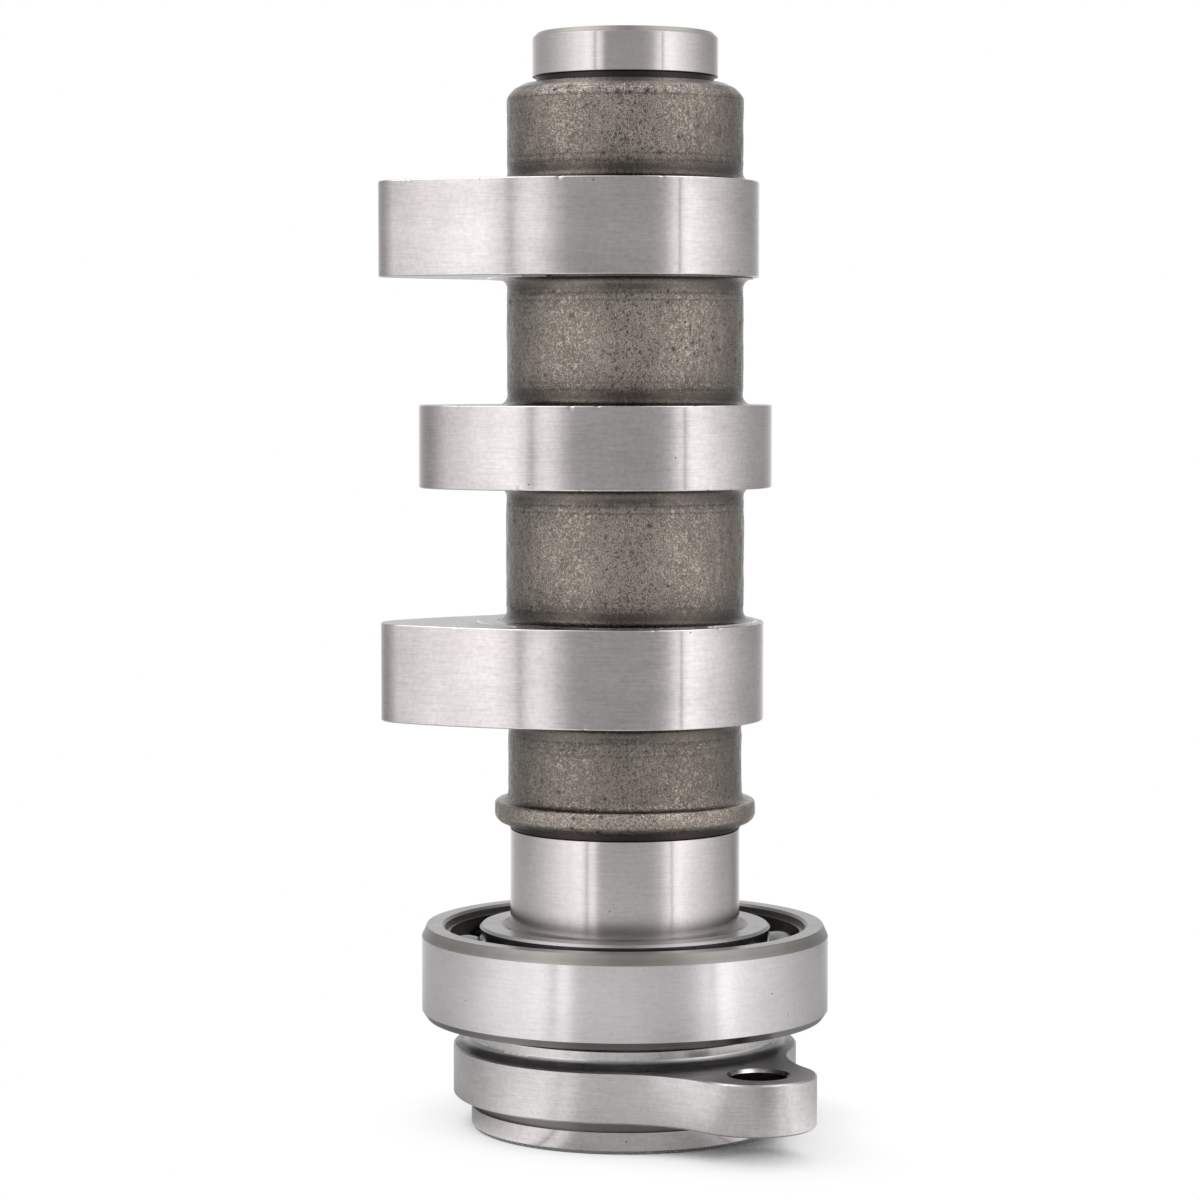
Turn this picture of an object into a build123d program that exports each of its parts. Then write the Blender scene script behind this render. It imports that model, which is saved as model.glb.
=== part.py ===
from build123d import *
import os
from math import hypot, radians, sqrt, tan

# Camshaft of a small four-stroke engine, standing on its drive end, in millimetres.
# The origin is on the shaft's axis, in the plane of the drive hub's lower face. +Z runs
# along the shaft to its free end. Plan angles are counted from +X towards +Y, and the
# front of the shaft, where the hub's ear is, faces -Y.

# Drive hub: pilot spigot, relief, flange with one ear, collar and boss, from the floor up
SPIGOT_R = 23.47
SPIGOT_LENGTH = 3.3
SPIGOT_CHAMFER = 0.6
RELIEF_DEPTH = 0.57
RELIEF_LENGTH = 1.8
RELIEF_FACE_DEPTH = 0.2
RELIEF_OVERRUN = 0.5
FLANGE_MARGIN = 2.6
FLANGE_THICKNESS = 7.7
FLANGE_EDGE = 0.25
EAR_OVERHANG = 6.25
EAR_ANGLE = -55.0
EAR_R = 9.25
EAR_HOLLOW_R = 20.0
EAR_HOLE_R = 4.2
EAR_HOLE_OFFSET = 1.25
EAR_HOLE_CHAMFER = 0.5
COLLAR_STEP = 1.6
COLLAR_LENGTH = 2.76
COLLAR_FILLET = 1.3
COLLAR_CHAMFER = 0.3
BOSS_INSET = 0.18
BOSS_LENGTH = 1.32
HUB_BORE_R = 15.0
HUB_BORE_CHAMFER = 0.6
TAIL_RECESS = 1.2
TAIL_CHAMFER = 0.8

# Deep groove ball bearing, 35 x 62 x 14
BEARING_BORE_R = 17.5
BEARING_OUTSIDE_R = 31.0
BEARING_WIDTH = 14.0
BALL_SHARE = 0.294
BALL_COUNT = 11
BALL_PHASE = 176.5
RACE_CONFORMITY = 1.04
RACE_CLEARANCE = 0.05
INNER_SHOULDER = 0.491
INNER_BORE_CHAMFER = 1.3
INNER_EDGE = 0.4
OUTER_SHOULDER = 0.3953
OUTER_RECESS_STEP = 0.8
OUTER_RECESS_DEPTH = 1.2
OUTER_RECESS_CHAMFER = 0.4
OUTER_CORNER = 0.75
OUTER_CORNER_TOP = 1.65
OUTER_CORNER_BOTTOM = 1.1

# Two-half riveted cage
CAGE_INNER_GAP = 0.42
CAGE_OUTER_GAP = 0.8
CAGE_SHEET = 0.8
POCKET_CLEARANCE = 0.1
RIVET_R = 0.7
RIVET_HEAD_R = 1.2
RIVET_CROWN_R = 0.8
RIVET_HEAD_HEIGHT = 0.5

# Lower journal and the raw rib above it
JOURNAL_LENGTH = 14.75
JOURNAL_CHAMFER = 0.2
GROOVE_DEPTH = 0.3
GROOVE_LENGTH = 0.35
NECK_R = 17.7
NECK_LENGTH = 0.6
RIB_R = 19.85
RIB_LENGTH = 3.45
RIB_LOWER_ROUND = 1.7
RIB_UPPER_ROUND = 0.7
RIB_FILLET = 1.6

# Raw shaft between the lobes, named from the rib up
SECTION_D_R = 17.77
SECTION_D_LENGTH = 12.3
SECTION_C_R = 18.04
SECTION_C_LENGTH = 20.1
SECTION_B_R = 17.9
SECTION_B_LENGTH = 18.9
SECTION_A_R = 17.84
SECTION_A_LENGTH = 14.6
SHAFT_FILLET = 1.5
SHOULDER_R = 15.4
SHOULDER_LENGTH = 2.0
SHOULDER_SLOPE = 1.4
SHOULDER_ROUND = 1.5

# Lobes: a base circle and a nose circle, joined on each side by a flank arc and a
# shoulder arc. The outer lobes share one form. Form angles are the directions, counted
# from the nose, in which the outline faces where two arcs meet
LOBE_3_THICKNESS = 15.1
LOBE_3_BASE_R = 21.1
LOBE_3_NOSE_REACH = 29.9
LOBE_3_NOSE_R = 7.2
LOBE_3_ANGLE = 185.3
LOBE_3_FACE_R = 22.4
LOBE_2_THICKNESS = 12.5
LOBE_2_BASE_R = 22.3
LOBE_2_NOSE_REACH = 19.1
LOBE_2_NOSE_R = 12.3
LOBE_2_ANGLE = 189.6
LOBE_1_THICKNESS = 14.6
LOBE_1_BASE_R = 20.3
LOBE_1_NOSE_REACH = 31.0
LOBE_1_NOSE_R = 6.3
LOBE_1_ANGLE = 185.7
LOBE_1_FACE_R = 20.8
OUTER_FLANK_ANGLE = 76.7
OUTER_SHOULDER_ANGLE = 61.2
OUTER_NOSE_ANGLE = 47.5
MIDDLE_FLANK_ANGLE = 73.6
MIDDLE_SHOULDER_ANGLE = 60.6
MIDDLE_NOSE_ANGLE = 40.7
FACE_STEP = 0.25
LOBE_EDGE = 0.25

# Undercut and ground journal at the free end
UNDERCUT_R = 13.4
UNDERCUT_LENGTH = 1.1
TOP_JOURNAL_R = 14.05
TOP_JOURNAL_LENGTH = 6.6
TOP_JOURNAL_CHAMFER = 0.85
TOP_JOURNAL_EDGE = 0.15

# Lathe centres in both ends of the shaft
CENTRE_PILOT_R = 1.6
CENTRE_PILOT_DEPTH = 5.5
CENTRE_MOUTH_R = 3.6
CENTRE_ANGLE = 60.0

# Heights that follow, from the floor up
RELIEF_Z = SPIGOT_LENGTH
FLANGE_Z = RELIEF_Z + RELIEF_LENGTH
COLLAR_Z = FLANGE_Z + FLANGE_THICKNESS
BOSS_Z = COLLAR_Z + COLLAR_LENGTH
BEARING_Z = BOSS_Z + BOSS_LENGTH
BEARING_TOP_Z = BEARING_Z + BEARING_WIDTH
RACE_Z = BEARING_Z + BEARING_WIDTH / 2
JOURNAL_TOP_Z = BEARING_TOP_Z + JOURNAL_LENGTH
NECK_Z = JOURNAL_TOP_Z + GROOVE_LENGTH
RIB_Z = NECK_Z + NECK_LENGTH
RIB_TOP_Z = RIB_Z + RIB_LENGTH
LOBE_3_Z = RIB_TOP_Z + SECTION_D_LENGTH
SECTION_C_Z = LOBE_3_Z + LOBE_3_THICKNESS
LOBE_2_Z = SECTION_C_Z + SECTION_C_LENGTH
SECTION_B_Z = LOBE_2_Z + LOBE_2_THICKNESS
LOBE_1_Z = SECTION_B_Z + SECTION_B_LENGTH
SECTION_A_Z = LOBE_1_Z + LOBE_1_THICKNESS
SHOULDER_TOP_Z = SECTION_A_Z + SECTION_A_LENGTH
TOP_JOURNAL_Z = SHOULDER_TOP_Z + UNDERCUT_LENGTH
TOP_Z = TOP_JOURNAL_Z + TOP_JOURNAL_LENGTH

# Bearing radii that follow. The balls and the races' depths are shares of the space
# between the bore and the outside, and a race's section is a little wider than a ball
PITCH_R = (BEARING_BORE_R + BEARING_OUTSIDE_R) / 2
BALL_R = (BEARING_OUTSIDE_R - BEARING_BORE_R) * BALL_SHARE
RACE_R = BALL_R * RACE_CONFORMITY
INNER_RACE_R = PITCH_R - BALL_R - RACE_CLEARANCE
OUTER_RACE_R = PITCH_R + BALL_R + RACE_CLEARANCE
INNER_LAND_R = INNER_RACE_R + BALL_R * INNER_SHOULDER
OUTER_LAND_R = OUTER_RACE_R - BALL_R * OUTER_SHOULDER
OUTER_RECESS_R = OUTER_LAND_R + OUTER_RECESS_STEP
CAGE_INNER_R = INNER_LAND_R + CAGE_INNER_GAP
CAGE_OUTER_R = OUTER_LAND_R - CAGE_OUTER_GAP
POCKET_R = BALL_R + POCKET_CLEARANCE

# Hub radii that follow. The boss bears on the inner ring's face alone
RELIEF_R = SPIGOT_R - RELIEF_DEPTH
BOSS_R = INNER_LAND_R - BOSS_INSET
COLLAR_R = BOSS_R + COLLAR_STEP
FLANGE_R = COLLAR_R + FLANGE_MARGIN
EAR_REACH = FLANGE_R + EAR_OVERHANG


def turned(*points):
    """Solid of revolution from a closed half section, given as radius and height pairs."""
    section = make_face(Polyline(*[(radius, 0, height) for radius, height in points], close=True))
    return revolve(section, Axis.Z)


def rim(body, radius, height):
    """The circular edges of a body that lie round the axis at one radius and height."""
    return [
        edge
        for edge in body.edges().filter_by(GeomType.CIRCLE)
        if abs(edge.radius - radius) < 1e-3
        and abs(edge.arc_center.Z - height) < 1e-3
        and hypot(edge.arc_center.X, edge.arc_center.Y) < 1e-3
    ]


def arc_about(centre, radius, start, end):
    """The shorter arc about a centre from one point to another."""
    middle = (start + end) * 0.5 - centre
    return ThreePointArc(start, centre + middle.normalized() * radius, end)


def circle_meeting(first_reach, second_reach, distance):
    """Point above the X axis that lies the first reach from the origin and the second
    reach from the point at the distance along X."""
    x = (first_reach**2 - second_reach**2 + distance**2) / (2 * distance)
    return Vector(x, sqrt(first_reach**2 - x**2))


def mirrored(point):
    """The point on the other side of the X axis."""
    return Vector(point.X, -point.Y)


def symmetric_outline(heel, tip, points, centres, radii):
    """Closed outline, the same on both sides of the X axis. It runs from the heel through
    the points above the axis to the tip, and the arc after each point but the last has
    the centre and radius of the same place in the lists."""
    sides = []
    for start, end, centre, radius in zip(points, points[1:], centres, radii):
        sides.append(arc_about(centre, radius, start, end))
        sides.append(arc_about(mirrored(centre), radius, mirrored(start), mirrored(end)))
    heel_arc = ThreePointArc(points[0], heel, mirrored(points[0]))
    tip_arc = ThreePointArc(points[-1], tip, mirrored(points[-1]))
    return make_face([heel_arc, *sides, tip_arc])


def flank_radii(base_r, nose_r, reach, facing):
    """Radii of the flank and shoulder arcs with which the outline closes on the nose. The
    steps from centre to centre, each along one facing direction, add up to the reach."""
    flank, shoulder, nose = facing
    step = Vector(reach, 0) - flank * base_r + nose * nose_r
    first, second = shoulder - flank, nose - shoulder
    area = first.cross(second).Z
    return step.cross(second).Z / area, first.cross(step).Z / area


def lobe_outline(base_r, nose_r, reach, angles):
    """Cam outline with its nose along X. Each two arcs that meet face the same way there,
    so the outline is smooth."""
    flank, shoulder, nose = (Vector(1, 0).rotate(Axis.Z, angle) for angle in angles)
    flank_r, shoulder_r = flank_radii(base_r, nose_r, reach, (flank, shoulder, nose))
    flank_centre = flank * (base_r - flank_r)
    shoulder_centre = flank_centre + shoulder * (flank_r - shoulder_r)
    points = [
        flank * base_r,
        flank_centre + shoulder * flank_r,
        Vector(reach, 0) + nose * nose_r,
    ]
    centres, radii = (flank_centre, shoulder_centre), (flank_r, shoulder_r)
    return symmetric_outline((-base_r, 0), (reach + nose_r, 0), points, centres, radii)


def flange_outline():
    """Hub flange with its ear along X. The hollows beside the ear curve inwards."""
    centre = circle_meeting(FLANGE_R + EAR_HOLLOW_R, EAR_R + EAR_HOLLOW_R, EAR_REACH)
    ear = Vector(EAR_REACH, 0)
    disc_end = centre.normalized() * FLANGE_R
    ear_end = ear + (centre - ear).normalized() * EAR_R
    heel, tip = (-FLANGE_R, 0), (EAR_REACH + EAR_R, 0)
    return symmetric_outline(heel, tip, [disc_end, ear_end], [centre], [EAR_HOLLOW_R])


def eased_plate(outline, thickness, edge):
    """A plate of the outline with its upper and lower rims chamfered."""
    plate = extrude(outline, thickness)
    rims = plate.faces().sort_by(Axis.Z)[0].edges() + plate.faces().sort_by(Axis.Z)[-1].edges()
    return chamfer(rims, edge)


def face_step(outline, step_r):
    """Low round step that a lobe's face carries about the shaft, inside its rim."""
    inside = offset(outline, -LOBE_EDGE, kind=Kind.INTERSECTION)
    return extrude(inside & Circle(step_r), FACE_STEP)


def placed_lobe(solid, angle, height):
    """A lobe turned to its plan angle and lifted to its height."""
    return Pos(0, 0, height) * Rot(0, 0, angle) * solid


def lobe_1():
    """Upper lobe, whose step is on its lower face."""
    angles = OUTER_FLANK_ANGLE, OUTER_SHOULDER_ANGLE, OUTER_NOSE_ANGLE
    outline = lobe_outline(LOBE_1_BASE_R, LOBE_1_NOSE_R, LOBE_1_NOSE_REACH, angles)
    body = Pos(0, 0, FACE_STEP) * eased_plate(outline, LOBE_1_THICKNESS - FACE_STEP, LOBE_EDGE)
    return placed_lobe(body + face_step(outline, LOBE_1_FACE_R), LOBE_1_ANGLE, LOBE_1_Z)


def lobe_2():
    """Middle lobe, with plain faces."""
    angles = MIDDLE_FLANK_ANGLE, MIDDLE_SHOULDER_ANGLE, MIDDLE_NOSE_ANGLE
    outline = lobe_outline(LOBE_2_BASE_R, LOBE_2_NOSE_R, LOBE_2_NOSE_REACH, angles)
    return placed_lobe(eased_plate(outline, LOBE_2_THICKNESS, LOBE_EDGE), LOBE_2_ANGLE, LOBE_2_Z)


def lobe_3():
    """Lower lobe, whose step is on its upper face."""
    angles = OUTER_FLANK_ANGLE, OUTER_SHOULDER_ANGLE, OUTER_NOSE_ANGLE
    outline = lobe_outline(LOBE_3_BASE_R, LOBE_3_NOSE_R, LOBE_3_NOSE_REACH, angles)
    plain = LOBE_3_THICKNESS - FACE_STEP
    body = eased_plate(outline, plain, LOBE_EDGE)
    step = Pos(0, 0, plain) * face_step(outline, LOBE_3_FACE_R)
    return placed_lobe(body + step, LOBE_3_ANGLE, LOBE_3_Z)


def lathe_centre():
    """Centre hole cut from height 0 upwards: a sixty degree mouth, a pilot and its point."""
    mouth_depth = (CENTRE_MOUTH_R - CENTRE_PILOT_R) / tan(radians(CENTRE_ANGLE / 2))
    floor = mouth_depth + CENTRE_PILOT_DEPTH
    return turned(
        (0, 0),
        (CENTRE_MOUTH_R, 0),
        (CENTRE_PILOT_R, mouth_depth),
        (CENTRE_PILOT_R, floor),
        (0, floor + CENTRE_PILOT_R * tan(radians(90 - CENTRE_ANGLE))),
    )


def journal_stock():
    """Lower end of the shaft: tail in the hub, bearing seat, journal, neck and rib."""
    groove_r = BEARING_BORE_R - GROOVE_DEPTH
    stock = turned(
        (0, TAIL_RECESS),
        (HUB_BORE_R - TAIL_CHAMFER, TAIL_RECESS),
        (HUB_BORE_R, TAIL_RECESS + TAIL_CHAMFER),
        (HUB_BORE_R, BEARING_Z),
        (BEARING_BORE_R, BEARING_Z),
        (BEARING_BORE_R, JOURNAL_TOP_Z - JOURNAL_CHAMFER),
        (BEARING_BORE_R - JOURNAL_CHAMFER, JOURNAL_TOP_Z),
        (groove_r, JOURNAL_TOP_Z),
        (groove_r, NECK_Z),
        (NECK_R, NECK_Z),
        (NECK_R, RIB_Z),
        (RIB_R, RIB_Z),
        (RIB_R, RIB_TOP_Z),
        (SECTION_D_R, RIB_TOP_Z),
        (SECTION_D_R, LOBE_3_Z + LOBE_3_THICKNESS / 2),
        (0, LOBE_3_Z + LOBE_3_THICKNESS / 2),
    )
    stock = fillet(rim(stock, RIB_R, RIB_Z), RIB_LOWER_ROUND)
    stock = fillet(rim(stock, RIB_R, RIB_TOP_Z), RIB_UPPER_ROUND)
    return fillet(rim(stock, SECTION_D_R, RIB_TOP_Z), RIB_FILLET)


def free_end_stock():
    """Upper end of the shaft: raw section, rounded shoulder, undercut and journal."""
    slope_r = SHOULDER_R + SHOULDER_SLOPE
    slope_z = SHOULDER_TOP_Z - SHOULDER_SLOPE / 2
    stock = turned(
        (0, LOBE_1_Z + LOBE_1_THICKNESS / 2),
        (SECTION_A_R, LOBE_1_Z + LOBE_1_THICKNESS / 2),
        (SECTION_A_R, SHOULDER_TOP_Z - SHOULDER_LENGTH),
        (slope_r, slope_z),
        (SHOULDER_R, SHOULDER_TOP_Z),
        (UNDERCUT_R, SHOULDER_TOP_Z),
        (UNDERCUT_R, TOP_JOURNAL_Z),
        (TOP_JOURNAL_R - TOP_JOURNAL_EDGE, TOP_JOURNAL_Z),
        (TOP_JOURNAL_R, TOP_JOURNAL_Z + TOP_JOURNAL_EDGE),
        (TOP_JOURNAL_R, TOP_Z - TOP_JOURNAL_CHAMFER),
        (TOP_JOURNAL_R - TOP_JOURNAL_CHAMFER, TOP_Z),
        (0, TOP_Z),
    )
    stock = fillet(rim(stock, SECTION_A_R, SHOULDER_TOP_Z - SHOULDER_LENGTH), SHOULDER_ROUND)
    return fillet(rim(stock, slope_r, slope_z), SHOULDER_ROUND)


def middle_stock():
    """Raw shaft between the lower and the upper lobe, stepped inside the middle one."""
    lobe_3_middle = LOBE_3_Z + LOBE_3_THICKNESS / 2
    lobe_2_middle = LOBE_2_Z + LOBE_2_THICKNESS / 2
    lobe_1_middle = LOBE_1_Z + LOBE_1_THICKNESS / 2
    return turned(
        (0, lobe_3_middle),
        (SECTION_C_R, lobe_3_middle),
        (SECTION_C_R, lobe_2_middle),
        (SECTION_B_R, lobe_2_middle),
        (SECTION_B_R, lobe_1_middle),
        (0, lobe_1_middle),
    )


def camshaft():
    """The shaft with its three lobes, one piece."""
    shaft = journal_stock() + middle_stock() + free_end_stock() + lobe_1() + lobe_2() + lobe_3()
    roots = [
        (SECTION_D_R, LOBE_3_Z),
        (SECTION_C_R, SECTION_C_Z),
        (SECTION_C_R, LOBE_2_Z),
        (SECTION_B_R, SECTION_B_Z),
        (SECTION_B_R, LOBE_1_Z),
        (SECTION_A_R, SECTION_A_Z),
    ]
    for radius, height in roots:
        shaft = fillet(rim(shaft, radius, height), SHAFT_FILLET)
    shaft -= Pos(0, 0, TAIL_RECESS) * lathe_centre()
    return shaft - Pos(0, 0, TOP_Z) * Rot(180, 0, 0) * lathe_centre()


def drive_hub():
    """Hub pressed on the shaft's tail: spigot, relief, eared flange, collar and boss."""
    core = turned(
        (HUB_BORE_R + HUB_BORE_CHAMFER, 0),
        (SPIGOT_R - SPIGOT_CHAMFER, 0),
        (SPIGOT_R, SPIGOT_CHAMFER),
        (SPIGOT_R, RELIEF_Z),
        (RELIEF_R, RELIEF_Z),
        (RELIEF_R, COLLAR_Z),
        (COLLAR_R, COLLAR_Z),
        (COLLAR_R, BOSS_Z - COLLAR_CHAMFER),
        (COLLAR_R - COLLAR_CHAMFER, BOSS_Z),
        (BOSS_R, BOSS_Z),
        (BOSS_R, BEARING_Z),
        (HUB_BORE_R, BEARING_Z),
        (HUB_BORE_R, HUB_BORE_CHAMFER),
    )
    plate = eased_plate(flange_outline(), FLANGE_THICKNESS, FLANGE_EDGE)
    plate -= Pos(EAR_REACH + EAR_HOLE_OFFSET, 0, 0) * ear_hole()
    plate -= extrude(Circle(SPIGOT_R + RELIEF_OVERRUN), RELIEF_FACE_DEPTH)
    plate -= extrude(Circle(HUB_BORE_R), FLANGE_THICKNESS)
    hub = core + Pos(0, 0, FLANGE_Z) * Rot(0, 0, EAR_ANGLE) * plate
    return fillet(rim(hub, COLLAR_R, COLLAR_Z), COLLAR_FILLET)


def ear_hole():
    """Through hole of the ear with both of its mouths chamfered, from height 0 up."""
    mouth_r = EAR_HOLE_R + EAR_HOLE_CHAMFER
    return turned(
        (0, 0),
        (mouth_r, 0),
        (EAR_HOLE_R, EAR_HOLE_CHAMFER),
        (EAR_HOLE_R, FLANGE_THICKNESS - EAR_HOLE_CHAMFER),
        (mouth_r, FLANGE_THICKNESS),
        (0, FLANGE_THICKNESS),
    )


def race_groove(centre_r):
    """Ring of round section that cuts a ball race at mid width."""
    return Pos(0, 0, RACE_Z) * Torus(centre_r, RACE_R)


def bearing_inner_ring():
    """Inner ring with its bore chamfers, eased lands and race."""
    ring = turned(
        (BEARING_BORE_R + INNER_BORE_CHAMFER, BEARING_Z),
        (INNER_LAND_R - INNER_EDGE, BEARING_Z),
        (INNER_LAND_R, BEARING_Z + INNER_EDGE),
        (INNER_LAND_R, BEARING_TOP_Z - INNER_EDGE),
        (INNER_LAND_R - INNER_EDGE, BEARING_TOP_Z),
        (BEARING_BORE_R + INNER_BORE_CHAMFER, BEARING_TOP_Z),
        (BEARING_BORE_R, BEARING_TOP_Z - INNER_BORE_CHAMFER),
        (BEARING_BORE_R, BEARING_Z + INNER_BORE_CHAMFER),
    )
    return ring - race_groove(INNER_RACE_R + RACE_R)


def bearing_outer_ring():
    """Outer ring with its corner chamfers, side recesses, lands and race."""
    mouth_r = OUTER_RECESS_R + OUTER_RECESS_CHAMFER
    ring = turned(
        (mouth_r, BEARING_Z),
        (BEARING_OUTSIDE_R - OUTER_CORNER, BEARING_Z),
        (BEARING_OUTSIDE_R, BEARING_Z + OUTER_CORNER_BOTTOM),
        (BEARING_OUTSIDE_R, BEARING_TOP_Z - OUTER_CORNER_TOP),
        (BEARING_OUTSIDE_R - OUTER_CORNER, BEARING_TOP_Z),
        (mouth_r, BEARING_TOP_Z),
        (OUTER_RECESS_R, BEARING_TOP_Z - OUTER_RECESS_CHAMFER),
        (OUTER_RECESS_R, BEARING_TOP_Z - OUTER_RECESS_DEPTH),
        (OUTER_LAND_R, BEARING_TOP_Z - OUTER_RECESS_DEPTH),
        (OUTER_LAND_R, BEARING_Z + OUTER_RECESS_DEPTH),
        (OUTER_RECESS_R, BEARING_Z + OUTER_RECESS_DEPTH),
        (OUTER_RECESS_R, BEARING_Z + OUTER_RECESS_CHAMFER),
    )
    return ring - race_groove(OUTER_RACE_R - RACE_R)


def round_pitch(shape, phase=0.0):
    """Copies of a shape spaced as the balls are, the first one at the phase from a ball."""
    step = 360 / BALL_COUNT
    return [Rot(0, 0, BALL_PHASE + phase + step * i) * Pos(PITCH_R, 0, RACE_Z) * shape
            for i in range(BALL_COUNT)]


def cage_upper():
    """Upper half of the cage: a flat ring raised to a round pocket over each ball."""
    tall = POCKET_R + CAGE_SHEET
    band = extrude(Circle(CAGE_OUTER_R) - Circle(CAGE_INNER_R), tall)
    sheet = extrude(Circle(CAGE_OUTER_R) - Circle(CAGE_INNER_R), CAGE_SHEET)
    domes = Pos(0, 0, RACE_Z) * band & Compound(round_pitch(Sphere(tall)))
    half = Pos(0, 0, RACE_Z) * sheet + domes
    half -= round_pitch(Sphere(POCKET_R))
    return half - round_pitch(Cylinder(RIVET_R, 2 * tall), 180 / BALL_COUNT)


def cage_lower():
    """Lower half of the cage, the upper half turned over about the balls' plane."""
    return cage_upper().mirror(Plane.XY.offset(RACE_Z))


def cage_rivets():
    """One rivet between each two balls, its heads closed over both halves of the cage."""
    head_z = CAGE_SHEET + RIVET_HEAD_HEIGHT
    rivet = turned(
        (0, -head_z),
        (RIVET_CROWN_R, -head_z),
        (RIVET_HEAD_R, -CAGE_SHEET),
        (RIVET_R, -CAGE_SHEET),
        (RIVET_R, CAGE_SHEET),
        (RIVET_HEAD_R, CAGE_SHEET),
        (RIVET_CROWN_R, head_z),
        (0, head_z),
    )
    return Compound(round_pitch(rivet, 180 / BALL_COUNT))


def balls():
    """Each ball under its own name, counted from the phase angle."""
    placed = round_pitch(Sphere(BALL_R))
    return {f"ball_{i:02d}": ball for i, ball in enumerate(placed, 1)}


def all_parts():
    """Every piece of the camshaft by its name."""
    return {
        "camshaft": camshaft(),
        "drive_hub": drive_hub(),
        "bearing_inner_ring": bearing_inner_ring(),
        "bearing_outer_ring": bearing_outer_ring(),
        "cage_upper": cage_upper(),
        "cage_lower": cage_lower(),
        "cage_rivets": cage_rivets(),
        **balls(),
    }


os.makedirs("parts", exist_ok=True)
for name, piece in all_parts().items():
    export_step(piece, f"parts/{name}.step")
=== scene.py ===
import bpy
import numpy as np
from bpy.props import FloatProperty, FloatVectorProperty, PointerProperty
from bpy.types import Operator, Panel, PropertyGroup
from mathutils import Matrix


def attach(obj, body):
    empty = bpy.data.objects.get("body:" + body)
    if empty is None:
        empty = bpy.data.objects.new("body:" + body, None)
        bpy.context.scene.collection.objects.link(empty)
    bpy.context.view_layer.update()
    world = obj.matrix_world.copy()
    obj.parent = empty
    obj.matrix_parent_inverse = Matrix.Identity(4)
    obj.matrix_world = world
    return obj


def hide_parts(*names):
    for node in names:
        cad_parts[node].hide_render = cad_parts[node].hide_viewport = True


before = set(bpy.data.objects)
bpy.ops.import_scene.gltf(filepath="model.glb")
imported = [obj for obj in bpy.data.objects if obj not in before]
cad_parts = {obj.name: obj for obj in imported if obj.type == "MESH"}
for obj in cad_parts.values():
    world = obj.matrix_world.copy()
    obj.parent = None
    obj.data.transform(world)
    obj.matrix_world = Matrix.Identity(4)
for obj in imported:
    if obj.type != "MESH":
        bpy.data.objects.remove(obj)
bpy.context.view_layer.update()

bl_info = {
    "name": "Camshaft looks",
    "version": (1, 0, 0),
    "blender": (4, 5, 0),
    "location": "3D View > Sidebar > Camshaft",
    "description": "Ground, raw and turned steel surfaces of a camshaft with its bearing and hub",
    "category": "Object",
}

MM = 0.001


def length(name, description, millimetres):
    """A length property. Its default is given in millimetres."""
    return FloatProperty(name=name, description=description, default=millimetres * MM, min=0.0,
                         precision=5, subtype="DISTANCE", unit="LENGTH")


def degrees(name, description, value):
    """An angle property. Its default is given in degrees."""
    return FloatProperty(name=name, description=description, default=np.radians(value),
                         subtype="ANGLE", unit="ROTATION")


def share(name, description, value):
    """A number from 0 to 1."""
    return FloatProperty(name=name, description=description, default=value, min=0.0, max=1.0,
                         precision=3, subtype="FACTOR")


def colour(name, description, value):
    """A colour property, in linear light."""
    return FloatVectorProperty(name=name, description=description, default=value, size=3,
                               min=0.0, max=1.0, subtype="COLOR")


def lobe_settings(name, text, *values):
    """Property group with the form and place of one lobe. The values are its defaults."""
    fields = {
        "base": (length, "Base radius", "Radius of the base circle"),
        "nose": (length, "Nose radius", "Radius of the nose circle"),
        "reach": (length, "Nose reach", "Distance from the axis to the centre of the nose"),
        "thickness": (length, "Thickness", "Length along the shaft"),
        "height": (length, "Height", "Height of the lower face above the floor"),
        "direction": (degrees, "Direction", "Plan angle of the nose"),
        "flank": (degrees, "Flank angle", "Facing direction where the flank leaves the base circle"),
        "shoulder": (degrees, "Shoulder angle", "Facing direction where the shoulder begins"),
        "tip": (degrees, "Nose angle", "Facing direction where the nose begins"),
        "step_radius": (length, "Step radius", "Radius of the round step on the face"),
        "step_above": (length, "Upper step", "Height of the step on the upper face"),
        "step_below": (length, "Lower step", "Height of the step on the lower face"),
    }
    made = {key: maker(label, about, value)
            for (key, (maker, label, about)), value in zip(fields.items(), values)}
    return type(name, (PropertyGroup,), {"__doc__": text, "__annotations__": made})


LowerLobe = lobe_settings("LowerLobe", "Form and place of the lobe nearest the bearing",
                          21.1, 7.2, 29.9, 15.1, 62.33, 185.3, 76.7, 61.2, 47.5, 22.4, 0.25, 0.0)
MiddleLobe = lobe_settings("MiddleLobe", "Form and place of the middle lobe",
                           22.3, 12.3, 19.1, 12.5, 97.53, 189.6, 73.6, 60.6, 40.7, 20.5, 0.0, 0.0)
UpperLobe = lobe_settings("UpperLobe", "Form and place of the lobe nearest the free end",
                          20.3, 6.3, 31.0, 14.6, 128.93, 185.7, 76.7, 61.2, 47.5, 20.8, 0.0, 0.25)


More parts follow.
